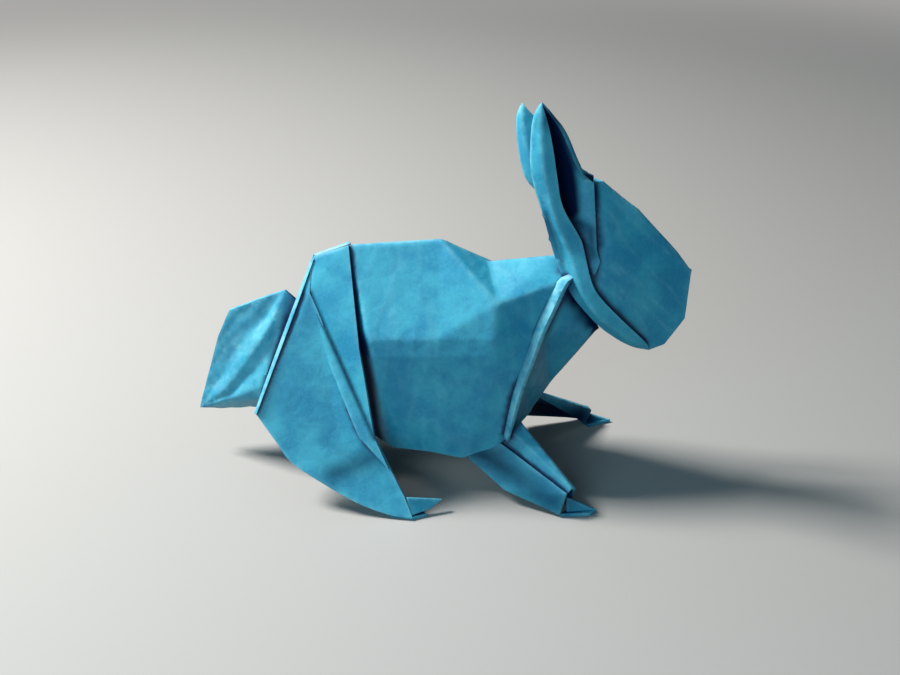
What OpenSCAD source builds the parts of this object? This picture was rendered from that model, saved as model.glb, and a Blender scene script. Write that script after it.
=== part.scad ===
// An origami rabbit, folded from one square sheet of blue paper.
// Forward is +X and the left side of the rabbit is +Y. The origin is on the ground,
// in the middle of the length. Every corner of a fold is a point given as
// [forward, out from the centre line, up], and the sheet is drawn through those points.

/* [Paper] */
// Thickness of one layer of the paper
paper_t = 0.1; // [0.09:0.01:0.12]
// Layers in the walls of the body and the chest
body_layers = 7; // [6:1:8]
// Layers in the haunch flaps
haunch_layers = 8; // [7:1:9]
// Layers in the rolled edges of the haunches and the chest
edge_layers = 12; // [10:1:14]
// Layers in the face and the strips beside it
head_layers = 7; // [6:1:8]
// Layers in the walls of the ears
ear_layers = 6; // [6:1:8]
// Layers in the walls of the front legs
leg_layers = 8; // [7:1:9]
// Layers in the tail
tail_layers = 7; // [6:1:8]
// Layers in the tips that make the soles of the feet
sole_layers = 10; // [9:1:11]

/* [Back] */
// Distance of the rump behind the middle
rump_back = 29.5; // [29:0.5:30]
// Height of the rump
rump_h = 60; // [59.5:0.5:60.5]
// Distance of the loin, where the haunches start, behind the middle
loin_back = 20.5; // [19:0.5:22]
// Height of the loin
loin_h = 63.5; // [63:0.5:64]
// Distance of the highest fold of the back ahead of the middle
back_fwd = 2; // [0:0.5:4]
// Height of the highest fold of the back
back_h = 66; // [65:0.5:68]
// Distance of the dip before the neck ahead of the middle
dip_fwd = 14; // [12:0.5:16]
// Height of the dip
dip_h = 60; // [59:0.5:61]

/* [Sides] */
// Height of the upper fold along the side of the body
side_h = 44.5; // [44:0.5:45]
// Half the width of the body at the side fold
side_out = 12; // [11.5:0.5:12.5]
// Height of the lower edge of the belly
belly_h = 11; // [10.5:0.5:12.5]
// Half the width of the belly at its lower edge
belly_out = 12.5; // [12:0.5:13]
// Height of the top of the shoulder fold
shoulder_h = 54; // [53:0.5:55]
// Half the width across the tops of the shoulder folds
shoulder_out = 8; // [7.5:0.5:8.5]

/* [Chest] */
// Distance of the top of the chest's edge ahead of the middle
collar_fwd = 33.5; // [33:0.5:34]
// Height of the top of the chest's edge
collar_h = 58; // [57.5:0.5:58.5]
// Distance of the throat ahead of the middle
throat_fwd = 42; // [41:0.5:43]
// Height of the throat
throat_h = 43; // [42:0.5:44]

/* [Haunches] */
// Distance of the hock, the rear corner of the haunch, behind the middle
hock_back = 43.5; // [42.5:0.5:44.5]
// Half the width across the hocks
hock_out = 16.5; // [15.5:0.5:17.5]
// Height of the hock
hock_h = 23; // [22:0.5:24]
// Half the width across the heels of the hind feet
heel_out = 27; // [26:0.5:28]
// How far the haunch's lower edge bows below the line from hock to heel
haunch_bow = 5.5; // [4.5:0.5:6]

/* [Tail] */
// Distance of the tip of the tail behind the middle
tail_back = 63.5; // [61:0.5:66]
// Height of the tip of the tail
tail_tip_h = 13; // [11:0.5:15]
// Height of the top corner of the tail
tail_top_h = 50; // [49:0.5:51]
// Half the width of the tail where it opens at the bottom
tail_out = 7; // [6:0.5:8]

/* [Head] */
// Height of the crown of the head
crown_h = 82.5; // [81.5:0.5:83.5]
// Distance of the nose ahead of the middle
nose_fwd = 63.5; // [62:0.5:65]
// Height of the nose
nose_h = 60; // [59:0.5:61]
// Half the width of the head at the cheeks
cheek_out = 6.7; // [6.2:0.1:7]

/* [Ears] */
// Height of the tip of the right ear
ear_tip_h = 103.5; // [101:0.5:106]
// Angle by which the left ear leans further back than the right one
left_ear_lean = 8; // [0:1:12]
// Length of the left ear as a share of the right one
left_ear_share = 0.93; // [0.9:0.01:1]

/* [Front legs] */
// Half the width across the heels of the front feet
foot_out = 22.5; // [21.5:0.5:23.5]
// Distance of the right front heel ahead of the middle
foot_fwd = 34.5; // [33.5:0.5:35.5]
// Distance by which the left front foot is further forward
left_step = 4.5; // [0:0.5:5]
// Height of the left front ankle as a share of the right one
left_ankle_share = 0.65; // [0.6:0.05:1]
// How far the toes of the front feet turn in
toe_in = 3; // [1:0.5:3.5]
// How far the toe of the left front foot turns in
left_toe_in = 0.5; // [0:0.5:3.5]

/* [Hidden] */

// A point on the way from one point to another.
function between(a, b, share) = a + (b - a) * share;

// The unit vector along v.
function unit(v) = v / norm(v);

// The sum of a list of vectors.
function total(list) = [for (k = [0:2]) [for (v = list) v[k]] * [for (v = list) 1]];

function mirrored(p) = [p.x, -p.y, p.z];

// The same pieces of sheet and their mirror images.
function twinned(pieces) = concat(pieces,
    [for (piece = pieces) [for (i = [len(piece) - 1:-1:0]) mirrored(piece[i])]]);

// A folded sheet through flat pieces that share their corners. Each piece lists its
// corners anticlockwise as seen from outside, and the folds between the pieces are mitred.
module sheet(pieces, layers) {
    half_t = layers * paper_t / 2;
    listed = [for (piece = pieces) each piece];
    corners = [for (i = [0:len(listed) - 1]) if (search([listed[i]], listed)[0] == i) listed[i]];
    count = len(corners);
    facets = [for (piece = pieces) let (index = search(piece, corners))
        for (i = [1:len(index) - 2]) [index[0], index[i], index[i + 1]]];
    facings = [for (f = facets)
        unit(cross(corners[f[1]] - corners[f[0]], corners[f[2]] - corners[f[0]]))];
    lifts = [for (c = [0:count - 1]) let (
        shares = [for (k = [0:len(facets) - 1], i = [0:2]) if (facets[k][i] == c) let (
            one = unit(corners[facets[k][(i + 1) % 3]] - corners[c]),
            two = unit(corners[facets[k][(i + 2) % 3]] - corners[c]))
            facings[k] * acos(min(1, one * two))],
        mean = unit(total(shares)),
        reach = norm(total(shares)) / ([for (v = shares) norm(v)] * [for (v = shares) 1]))
        mean * half_t / max(reach, 0.5)];
    edges = [for (f = facets, i = [0:2]) [f[i], f[(i + 1) % 3]]];
    rims = [for (e = edges) if (len([for (other = edges) if (other == [e[1], e[0]]) 1]) == 0) e];
    polyhedron(
        concat(corners + lifts, corners - lifts),
        concat(
            [for (f = facets) [f[2], f[1], f[0]]],
            [for (f = facets) [f[0] + count, f[1] + count, f[2] + count]],
            [for (e = rims) [e[0], e[1], e[1] + count]],
            [for (e = rims) [e[0], e[1] + count, e[0] + count]]));
}

// A flat tip or strip of many layers, with its rim rounded.
module tip(corners, layers) {
    half_t = layers * paper_t / 2;
    count = len(corners);
    middle = total(corners) / count;
    facing = unit(total([for (i = [0:count - 1])
        cross(corners[i] - middle, corners[(i + 1) % count] - middle)]));
    rim = [for (i = [0:count - 1])
        let (before = unit(corners[i] - corners[(i + count - 1) % count]),
             after = unit(corners[(i + 1) % count] - corners[i]))
        corners[i] + unit(cross(before, facing) + cross(after, facing)) * half_t];
    skins = [for (c = corners, side = [-half_t, half_t]) c + facing * side];
    points = concat(rim, skins);
    hull() polyhedron(points, [[for (i = [0:len(points) - 1]) i]]);
}

module both_sides() {
    children();
    mirror([0, 1, 0]) children();
}

rump = [-rump_back, 0, rump_h];
loin = [-loin_back, 0, loin_h];
back = [back_fwd, 0, back_h];
dip = [dip_fwd, 0, dip_h];
nape = [30.5, 0, 62.5];
side_rear = [-30, 5, side_h - 3.5];
side_deep = [-18, side_out - 4, side_h - 2];
side_turn = [-14.4, side_out - 1, side_h - 1.3];
side_crease = [2.3, side_out - 0.2, side_h];
side_fore = [16.5, side_out + 0.4, side_h + 1];
valley_deep = [-18, side_out - 4.7, side_h - 6];
valley_turn = [-13.9, side_out - 1.7, side_h - 5.1];
valley_crease = [2.2, side_out - 1.1, side_h - 3.7];
valley_fore = [16.6, side_out - 0.4, side_h - 2.7];
pleat_deep = [-18, side_out - 4.5, side_h - 11];
pleat_turn = [-13.2, side_out - 0.2, side_h - 10.3];
pleat_crease = [2.3, side_out + 0.4, side_h - 9];
pleat_fore = [16.7, side_out + 0.7, side_h - 8];
shoulder = [17, shoulder_out, shoulder_h];
belly_rear = [-33, 6, belly_h + 11];
belly_deep = [-15.5, belly_out - 5, belly_h + 2];
belly_turn = [-9.5, belly_out - 0.5, belly_h + 0.4];
belly_crease = [0.5, belly_out, belly_h];
belly_fore = [8.5, belly_out + 0.5, belly_h - 1];
elbow_gap = [16.5, belly_out - 0.5, belly_h + 1.5];
collar = [collar_fwd, 4, collar_h];
rim_high = [28.5, 9, 46];
rim_low = [24, side_out, 32];
rim_end = [20.5, side_out - 0.5, 16];
throat = [throat_fwd, 0, throat_h];
breast = [30, 0, 25.5];
keel = [25.5, 0, 17];
neck = [41, cheek_out - 1.2, 61];

module body() {
    sheet(twinned([
        [rump, loin, side_rear],
        [loin, side_deep, side_rear],
        [loin, side_turn, side_deep],
        [loin, back, side_turn],
        [back, side_crease, side_turn],
        [back, shoulder, side_crease],
        [back, dip, shoulder],
        [dip, nape, shoulder],
        [shoulder, side_fore, side_crease],
        [side_rear, side_deep, valley_deep],
        [side_rear, valley_deep, pleat_deep],
        [side_rear, pleat_deep, belly_rear],
        [pleat_deep, belly_deep, belly_rear],
        [side_deep, side_turn, valley_turn, valley_deep],
        [valley_deep, valley_turn, pleat_turn, pleat_deep],
        [pleat_deep, pleat_turn, belly_turn, belly_deep],
        [side_turn, side_crease, valley_crease, valley_turn],
        [side_crease, side_fore, valley_fore, valley_crease],
        [valley_turn, valley_crease, pleat_crease, pleat_turn],
        [valley_crease, valley_fore, pleat_fore, pleat_crease],
        [pleat_turn, pleat_crease, belly_crease, belly_turn],
        [pleat_crease, pleat_fore, belly_fore, belly_crease],
        [pleat_fore, elbow_gap, belly_fore],
        [nape, collar, shoulder],
        [nape, neck, collar],
        [shoulder, collar, rim_high],
        [shoulder, rim_high, side_fore],
        [side_fore, rim_high, valley_fore],
        [rim_high, rim_low, valley_fore],
        [valley_fore, rim_low, pleat_fore],
        [pleat_fore, rim_low, elbow_gap],
        [rim_low, rim_end, elbow_gap],
        [collar, throat, rim_high],
        [rim_high, throat, breast],
        [rim_high, breast, rim_low],
        [rim_low, breast, keel],
        [rim_low, keel, rim_end],
    ]), body_layers);
}

// The hem that is turned back over the front edge of each side.
hem_front = [0.3, 0.4, 0];
hem_back = [-1.4, 0.9, 0.3];

module hems() {
    both_sides() sheet([
        [collar + hem_back, collar + hem_front, rim_high + hem_front, rim_high + hem_back],
        [rim_high + hem_back, rim_high + hem_front, rim_low + hem_front, rim_low + hem_back],
        [rim_low + hem_back, rim_low + hem_front, rim_end + hem_front, rim_end + hem_back],
    ], edge_layers);
}

hock = [-hock_back, hock_out, hock_h];
heel = [-2.5, heel_out, 0.6];
haunch_top = [-30.5, 4.5, 52];
haunch_loin = loin + [0, 0.7, 0.2];
haunch_rump = rump + [0, 0.4, 0];
along = heel - hock;
across = hock - haunch_top;
down = unit(across - along * (across * along) / (along * along));

// A point in the plane of the haunch, measured from the line from hock to heel.
function haunch_at(share, drop) = between(hock, heel, share) + down * drop;

stifle = haunch_at(0.3, haunch_bow);
heel_back = haunch_at(0.88, 2.8);
ankle = haunch_at(0.9, -3.5);
knee = haunch_at(0.6, -12);
flank = [-17, side_out + 0.3, 41];

module haunches() {
    both_sides() {
        sheet([
            [haunch_rump, haunch_loin, haunch_top],
            [haunch_top, haunch_loin, flank],
            [haunch_top, flank, knee],
            [haunch_rump, haunch_top, hock],
            [haunch_top, knee, ankle, heel, heel_back, haunch_at(0.7, haunch_bow - 0.7),
                haunch_at(0.5, haunch_bow), stifle, haunch_at(0.16, 3), hock],
        ], haunch_layers);
        tip([haunch_rump, hock, hock + [1.5, 0, 0.6], haunch_rump + [1.5, 0.3, 0]], edge_layers);
    }
}

rump_inside = [-30.5, 0.1, 57];
tail_root = [-34.5, 0.1, 47];
tail_seat = [-38, 5, 22];
tail_top = [-37.5, 0, tail_top_h];
tail_ridge = [-52.5, 0, 43.5];
tail_bend = [-56, 0, 36];
tail_tip = [-tail_back, 0, tail_tip_h];
tail_low = [-44, tail_out, 25];
tail_hem = [-44.5, tail_out - 0.5, 21.5];
tail_keel = [-47.5, 0, 14.5];
tail_swell = between(tail_top, tail_tip, 0.35) + [0, 2.8, 0];
tail_crease = between(tail_top, tail_tip, 0.68) + [0, 2, 0];

module tail() {
    both_sides() sheet([
        [rump_inside, tail_root, hock],
        [tail_root, tail_seat, hock],
        [tail_root, tail_low, tail_seat],
        [tail_top, tail_low, tail_root],
        [tail_top, tail_ridge, tail_swell],
        [tail_ridge, tail_bend, tail_crease, tail_swell],
        [tail_bend, tail_tip, tail_crease],
        [tail_tip, tail_low, tail_crease],
        [tail_crease, tail_low, tail_swell],
        [tail_swell, tail_low, tail_top],
        [tail_tip, tail_hem, tail_low],
        [tail_tip, tail_keel, tail_hem],
    ], tail_layers);
}

crown = [40.5, 0, crown_h];
brow = [50, 0, 75];
muzzle = [59.5, 0, 65];
nose = [nose_fwd, 0, nose_h];
snout = [63, 1.2, 47.5];
chin_front = [58.5, 2.2, 40.5];
chin = [54.5, 3, 39];
poll = [38.5, 0.6, crown_h + 0.3];
cheek_top = [36.5, cheek_out - 1.9, 66.5];
cheek = [41.5, cheek_out, 55.2];
jowl = [47, cheek_out - 0.5, 47.6];

module head() {
    sheet(twinned([
        [poll, crown, brow, cheek_top],
        [brow, muzzle, nose, cheek, cheek_top],
        [nose, snout, cheek],
        [cheek, snout, chin_front, jowl],
        [jowl, chin_front, chin],
    ]), head_layers);
}

ear_root = [30.5, 2.5, 63.5];
ear_lip = [35.8, 6.5, 71];
strip_top = [36.8, cheek_out + 0.2, 68.2];
strip_high = [39, cheek_out + 1.2, 60.1];
strip_mid = [41.5, cheek_out + 1.3, 55.7];
strip_low = [47.3, cheek_out + 0.8, 49.4];
strip_end = [53.8, 4.8, 42];
jaw_high = [34.3, 4, 55.5];
jaw_mid = [41.3, 4.4, 47.6];
jaw_low = [45.2, 4.6, 44.2];
jaw_front = [50, 4.2, 41];
temple_top = [38.5, 2, crown_h + 0.7];
temple_mid = [40, cheek_out - 1.4, 67.4];
temple_end = [41, cheek_out - 1.1, 64.4];

// A point of the ear, leaned back about the ear's root.
function leaned(p, lean, share) =
    let (v = (p - ear_root) * share)
    ear_root + [v.x * cos(lean) - v.z * sin(lean), v.y, v.z * cos(lean) + v.x * sin(lean)];

// An ear with the strips that run on from it along the jaw and beside the face.
module ear(lean, share) {
    ear_tip = leaned([25.5, 5, ear_tip_h], lean, share);
    fold = [for (p = [[23.8, 5, 99], [23.8, 5, 88], [24.8, 5, 82], [27, 5, 75.5]])
        leaned(p, lean, share)];
    outer = [for (p = [[27.5, 6.5, 97.5], [28.7, 7.5, 91.5], [29.8, 8, 86], [31.5, 8, 79]])
        leaned(p, lean, share)];
    inner = [for (p = [[28, 4, 100.5], [31.2, 2.4, 96], [34.2, 1.8, 89.5]])
        leaned(p, lean, share)];
    inner_end = [36.8, 1.6, crown_h + 1.5];
    fold_root = [28.8, 4, 69];
    sheet([
        [ear_tip, outer[0], fold[0]],
        [fold[0], outer[0], outer[1], fold[1]],
        [fold[1], outer[1], outer[2], fold[2]],
        [fold[2], outer[2], outer[3], fold[3]],
        [fold[3], outer[3], ear_lip, fold_root],
        [fold_root, ear_lip, strip_top, ear_root],
        [ear_root, strip_top, strip_high, jaw_high],
        [jaw_high, strip_high, strip_mid, jaw_mid],
        [jaw_mid, strip_mid, strip_low, jaw_low],
        [jaw_low, strip_low, strip_end, jaw_front],
        [jaw_front, strip_end, chin],
        [ear_tip, fold[0], inner[0]],
        [fold[0], fold[1], inner[1], inner[0]],
        [fold[1], fold[2], inner[2], inner[1]],
        [fold[2], fold[3], inner_end, inner[2]],
        [fold[3], temple_mid, inner_end],
        [fold[3], fold_root, temple_mid],
        [inner_end, temple_mid, temple_top],
        [fold_root, temple_end, temple_mid],
    ], ear_layers);
}

module front_leg(step, ankle_share, turn) {
    stride = [step, 0, 0];
    root_low = [8.8, 12.2, 11];
    root_side = [18.6, 11.7, 14.5];
    root_top = [21.5, 10.5, 17.3];
    root_in = [23.3, 8.5, 18.8];
    elbow = [20, 17.5, 4] + stride * 0.4;
    sole = [foot_fwd, foot_out, 0.6] + stride;
    pastern = sole + [-3.5, -1.2, 1];
    ankle_side = sole + [1.5, -0.5, 6.6 * ankle_share];
    ankle_top = sole + [2.5, -1.5, 7.3 * ankle_share];
    ankle_in = sole + [3.5, -2.5, 6.6 * ankle_share];
    inside = sole + [2, -3, 0.4];
    toe = sole + [9.5, -turn, 0];
    sheet([
        [root_low, root_side, elbow],
        [elbow, root_side, ankle_side],
        [elbow, ankle_side, pastern],
        [pastern, ankle_side, sole],
        [root_side, root_top, ankle_top, ankle_side],
        [root_top, root_in, ankle_in, ankle_top],
        [root_in, inside, ankle_in],
    ], leg_layers);
    tip([ankle_side, sole, toe], leg_layers);
    tip([for (p = [sole, sole + [7.5, -turn / 3, 0], toe, sole + [3, -3.8, 0]])
        [p.x, p.y, sole_layers * paper_t / 2]], sole_layers);
}

module hind_toe() {
    toe = [4.5, heel_out - 4.7, 3.6];
    toe_low = [1.5, heel_out - 2.7, 1.8];
    ankle_low = ankle + [0.8, 0.6, -2.4];
    under_heel = heel + [-0.5, -0.5, 0.5];
    sheet([
        [ankle + [0.3, -0.1, -0.2], toe, toe_low, ankle_low],
        [ankle_low, toe_low, under_heel],
    ], haunch_layers);
    tip([for (p = [heel + [-6, -0.8, 0], heel, heel + [3.4, -1.8, 0], heel + [0, -4, 0]])
        [p.x, p.y, sole_layers * paper_t / 2]], sole_layers);
}

module folded_rabbit() {
    color("#4fa9c9") {
        body();
        hems();
        haunches();
        tail();
        head();
        mirror([0, 1, 0]) {
            ear(0, 1);
            front_leg(0, 1, toe_in);
        }
        ear(left_ear_lean, left_ear_share);
        front_leg(left_step, left_ankle_share, left_toe_in);
        both_sides() hind_toe();
    }
}

folded_rabbit();
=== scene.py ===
import bpy
import bmesh
import math
import numpy as np
from mathutils.bvhtree import BVHTree
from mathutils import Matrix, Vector, noise


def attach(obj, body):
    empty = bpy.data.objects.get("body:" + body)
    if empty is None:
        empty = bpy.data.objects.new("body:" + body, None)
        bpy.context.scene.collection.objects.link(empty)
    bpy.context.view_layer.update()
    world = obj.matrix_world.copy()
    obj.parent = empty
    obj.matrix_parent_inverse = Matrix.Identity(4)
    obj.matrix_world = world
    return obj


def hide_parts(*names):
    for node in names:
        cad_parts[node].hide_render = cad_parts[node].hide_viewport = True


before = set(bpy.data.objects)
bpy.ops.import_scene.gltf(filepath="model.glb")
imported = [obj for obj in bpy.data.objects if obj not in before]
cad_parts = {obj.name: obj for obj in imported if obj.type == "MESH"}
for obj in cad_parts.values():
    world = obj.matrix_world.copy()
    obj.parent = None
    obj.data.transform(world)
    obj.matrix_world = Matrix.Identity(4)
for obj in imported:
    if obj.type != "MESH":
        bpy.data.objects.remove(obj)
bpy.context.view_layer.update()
print("the packed rabbit is loaded")

mm = 0.001  # every length below is in millimetres: forward, out to the left, up

# The camera of the photograph
cameraPlan = {
    "azimuth": 5,
    "elevation": 30,
    "distance": 300,
    "aim": (5.5, -11.69, 45),
    "lens": 48.96,
    "sensor": 36,
    "nearest": 0.005,
}


def placeCamera(plan):
    a, e = math.radians(plan["azimuth"]), math.radians(plan["elevation"])
    back = Vector((math.sin(a) * math.cos(e), -math.cos(a) * math.cos(e), math.sin(e)))
    bpy.ops.object.camera_add(location=(Vector(plan["aim"]) + back * plan["distance"]) * mm)
    camera = bpy.context.object
    camera.name = "camera"
    camera.rotation_euler = back.to_track_quat("Z", "Y").to_euler()
    camera.data.lens = plan["lens"]
    camera.data.sensor_width = plan["sensor"]
    camera.data.clip_start = plan["nearest"]
    bpy.context.scene.camera = camera


placeCamera(cameraPlan)
print("the camera is placed")

# What all the folds have in common
paperPlan = {
    "layer": 0.1,       # one layer of the paper
    "grain": 1.3,       # longest edge of the mesh
    "weld": 0.01,       # corners closer than this are one
    "flat": 7,          # a bend of no more degrees than this is no fold
    "faint": 14,        # a fold starts to show wear and painted highlight at this many degrees
    "bent": 60,         # and shows them fully at so many more
    "foldWearAndHighlight": 0.9,    # how far the pale wear and painted highlight of a fold reach
    "foldShare": 0.8,   # and how strong it is
    "rimWearAndHighlight": 0.8,     # how far the pale wear and painted highlight of a free edge reach
    "rimShare": 0.5,    # and how strong it is
    "recessShade": 9,        # how far a facing wall reaches to paint a place in recess shade
    "groove": 1.8,      # and how far it does so in a narrow groove
    "looks": 24,        # how many ways each point looks out to find that
    "lookFrom": 0.1,    # how far off the paper the looks start
    "farShare": 0.25,   # how much a wall counts at the full reach
    "grooveShare": 1.1,
    "buried": 0.3,      # a point with more looks than this inside the paper is a hidden one
    "hiddenWeight": 0.02,
    "evened": 3,        # how often neighbours even it out
    "creased": 0.45,    # how strong creased dents, swells and small dents are
    "swollen": 0.75,
    "dimpled": 0.16,
    "swell": 1.7,       # the size of swells and small dents beside that of the creased ones
    "dimple": 0.28,
    "level": 0.35,      # the height of a creased dent that counts as level
    "streaked": 0.86,   # how far streaks are drawn out along their way
    "crest": 0.2,       # how high the crest of a streak stands
    "crestWearAndHighlight": 0.16,  # and how wide its wear and painted highlight are
    "rounded": 0.12,    # the rounding of a cut edge
    "cut": 62,          # edges with a sharper angle in degrees are cut edges
    "smooth": 50,       # and smoother ones than this are shaded as one surface
}


def clearSelection():
    if bpy.context.mode != "OBJECT":
        bpy.ops.object.mode_set(mode="OBJECT")
    bpy.ops.object.select_all(action="DESELECT")


def flip(panels):
    # the same panels on the other side of the rabbit
    return [[(p[0], -p[1], p[2]) for p in reversed(panel)] for panel in panels]


def onSide(panels, side):
    # as they are on the left, where side is 1, or flipped to the right, where it is -1
    return panels if side > 0 else flip(panels)


def onTheWay(a, b, share):
    return tuple(x + (y - x) * share for x, y in zip(a, b))


def moved(p, by):
    return tuple(x + y for x, y in zip(p, by))


def curved(points, steps):
    # a smooth line through the points, as paper takes where it is curled and not creased
    points = [Vector(p) for p in points]
    ends = [points[0] * 2 - points[1]] + points + [points[-1] * 2 - points[-2]]
    line = []
    for a, b, c, d in zip(ends, ends[1:], ends[2:], ends[3:]):
        for step in range(steps):
            t = step / steps
            line.append(0.5 * (2 * b + (c - a) * t + (2 * a - 5 * b + 4 * c - d) * t * t
                               + (3 * b - a - 3 * c + d) * t ** 3))
    return [tuple(p) for p in line + [points[-1]]]


def curvedSizes(sizes, steps):
    return [p[0] for p in curved([(size, 0, 0) for size in sizes], steps)]


def strip(first, second, least=0.02):
    # the panels between two lines with the same number of points
    panels = []
    for a, b, c, d in zip(first, first[1:], second[1:], second):
        panel = [a, b, c, d]
        kept = [p for i, p in enumerate(panel)
                if (Vector(p) - Vector(panel[i - 1])).length > least]
        if len(kept) > 2:
            panels.append(kept)
    return panels


def stripsOf(rows):
    # the panels between each line and the next
    panels = []
    for one, two in zip(rows, rows[1:]):
        panels += strip(one, two)
    return panels


def layPanels(name, panels):
    # each panel is laid down as a small flat piece, and its corners are pulled to their places
    clearSelection()
    sheet = None
    for panel in panels:
        places = [Vector(p) * mm for p in panel]
        middle = sum(places, Vector()) / len(places)
        bpy.ops.mesh.primitive_circle_add(vertices=len(places), radius=mm, fill_type="NGON",
                                          location=middle)
        if sheet is None:
            sheet = bpy.context.object
            sheet.name = name
            bpy.ops.object.transform_apply(location=True, rotation=False, scale=False)
            bpy.ops.object.mode_set(mode="EDIT")
            bpy.ops.mesh.select_mode(type="VERT")
        mesh = bmesh.from_edit_mesh(sheet.data)
        mesh.verts.ensure_lookup_table()
        face = [f for f in mesh.faces if all(v.select for v in f.verts)][-1]
        turning = face.normal.z > 0
        ring = [v for v in face.verts] if turning else list(reversed(face.verts))
        for corner, place in zip(ring, places):
            corner.co = place
        if not turning:
            face.normal_flip()
        bmesh.update_edit_mesh(sheet.data)
        bpy.ops.mesh.select_all(action="DESELECT")
    bpy.ops.mesh.select_all(action="SELECT")
    bpy.ops.mesh.remove_doubles(threshold=paperPlan["weld"] * mm)
    bpy.ops.mesh.quads_convert_to_tris(quad_method="SHORTEST_DIAGONAL", ngon_method="BEAUTY")
    return sheet


def foldLines(sheet, plan):
    # the folds and the free edges of the flat panels, before the sheet is divided
    mesh = bmesh.from_edit_mesh(sheet.data)
    folds, rims = [], []
    for edge in mesh.edges:
        ends = (edge.verts[0].co.copy(), edge.verts[1].co.copy())
        if len(edge.link_faces) == 1:
            rims.append(ends)
        elif len(edge.link_faces) == 2:
            bend = math.degrees(edge.calc_face_angle(0))
            if bend > plan["flat"]:
                wornAndLit = (bend - plan["faint"]) / plan["bent"]
                folds.append(ends + (max(0.0, min(1.0, wornAndLit)),))
    return folds, rims


def divide(sheet, grain):
    # edges longer than the grain are halved until none is left
    bpy.ops.mesh.select_mode(type="EDGE")
    for turn in range(9):
        mesh = bmesh.from_edit_mesh(sheet.data)
        bpy.ops.mesh.select_all(action="DESELECT")
        longEdges = [e for e in mesh.edges if e.calc_length() > grain * mm]
        if not longEdges:
            break
        for edge in longEdges:
            edge.select = True
        mesh.select_flush_mode()
        bmesh.update_edit_mesh(sheet.data)
        bpy.ops.mesh.subdivide(number_cuts=1)
        bpy.ops.mesh.select_all(action="SELECT")
        bpy.ops.mesh.quads_convert_to_tris(quad_method="SHORTEST_DIAGONAL", ngon_method="BEAUTY")
        bpy.ops.mesh.beautify_fill(angle_limit=0.01)
    bpy.ops.mesh.select_mode(type="VERT")


def distanceTo(places, line):
    # how far each of the places is from a straight line between two points
    start, run = np.array(line[0]), np.array(line[1]) - np.array(line[0])
    share = np.clip((places - start) @ run / max(run @ run, 1e-15), 0, 1)
    return np.linalg.norm(places - start - share[:, None] * run, axis=1)


def softenFolds(sheet, folds, times, near=0.02):
    # a fold in paper is a tight curve, so the points on it are drawn towards their neighbours
    mesh = bmesh.from_edit_mesh(sheet.data)
    bpy.ops.mesh.select_all(action="DESELECT")
    places = np.array([corner.co for corner in mesh.verts])
    onFold = np.zeros(len(places), bool)
    for line in folds:
        onFold |= distanceTo(places, line) < near * mm
    for corner, chosen in zip(mesh.verts, onFold):
        if chosen and not corner.is_boundary:
            corner.select = True
    mesh.select_flush_mode()
    bmesh.update_edit_mesh(sheet.data)
    if times and onFold.any():
        bpy.ops.mesh.vertices_smooth(factor=0.5, repeat=times)


def paintWearAndHighlight(sheet, folds, rims, plan, least):
    # pale wear and painted highlight along folds and free edges, kept as an attribute that the
    # paper's nodes read
    wearAndHighlight = sheet.data.attributes.new("wearAndHighlight", "FLOAT", "POINT")
    places = np.array([corner.co for corner in sheet.data.vertices])
    amount = np.full(len(places), float(least))
    for line in folds:
        near = 1 - distanceTo(places, line) / (plan["foldWearAndHighlight"] * mm)
        amount = np.maximum(amount, near * line[2] * plan["foldShare"])
    for line in rims:
        near = 1 - distanceTo(places, line) / (plan["rimWearAndHighlight"] * mm)
        amount = np.maximum(amount, near * plan["rimShare"])
    wearAndHighlight.data.foreach_set("value", amount.astype(np.float32))


def paintRecessShade(sheet, plan):
    # painted shade: how closed in each point is, so that the paper is painted darker inside a fold,
    # where less light gets in
    bpy.context.view_layer.update()
    walls = BVHTree.FromObject(sheet, bpy.context.evaluated_depsgraph_get())
    golden = math.pi * (3 - math.sqrt(5))
    looks = []
    for i in range(plan["looks"]):
        up = (i + 0.5) / plan["looks"]
        side = math.sqrt(1 - up * up)
        looks.append(Vector((math.cos(golden * i) * side, math.sin(golden * i) * side, up)))
    far, close = plan["recessShade"] * mm, plan["groove"] * mm
    values, weights = [], []
    for corner in sheet.data.vertices:
        turn = corner.normal.to_track_quat("Z", "Y")
        start = corner.co + corner.normal * plan["lookFrom"] * mm
        wide, narrow, within = 0.0, 0.0, 0
        for look in looks:
            way = turn @ look
            hit = walls.ray_cast(start, way, far)
            if hit[0] is not None and hit[1].dot(way) < 0:
                wide += look.z * (1 - (1 - plan["farShare"]) * hit[3] / far)
                narrow += look.z * max(0, 1 - hit[3] / close)
            elif hit[0] is not None:
                within += 1
        values.append(max(wide, plan["grooveShare"] * narrow) * 2 / plan["looks"])
        hidden = within > plan["buried"] * plan["looks"]
        weights.append(plan["hiddenWeight"] if hidden else 1)
    # evened out between neighbours, with little weight on points inside another fold
    values, weights = np.array(values), np.array(weights)
    ends = np.zeros(len(sheet.data.edges) * 2, np.int64)
    sheet.data.edges.foreach_get("vertices", ends)
    one, two = ends[::2], ends[1::2]
    for turn in range(plan["evened"]):
        total, share = values * weights, weights.copy()
        for a, b in ((one, two), (two, one)):
            total += np.bincount(a, (values * weights)[b], len(values))
            share += np.bincount(a, weights[b], len(values))
        values = total / share
    recessShade = sheet.data.attributes.new("recessShade", "FLOAT", "POINT")
    recessShade.data.foreach_set("value", values.astype(np.float32))


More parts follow.
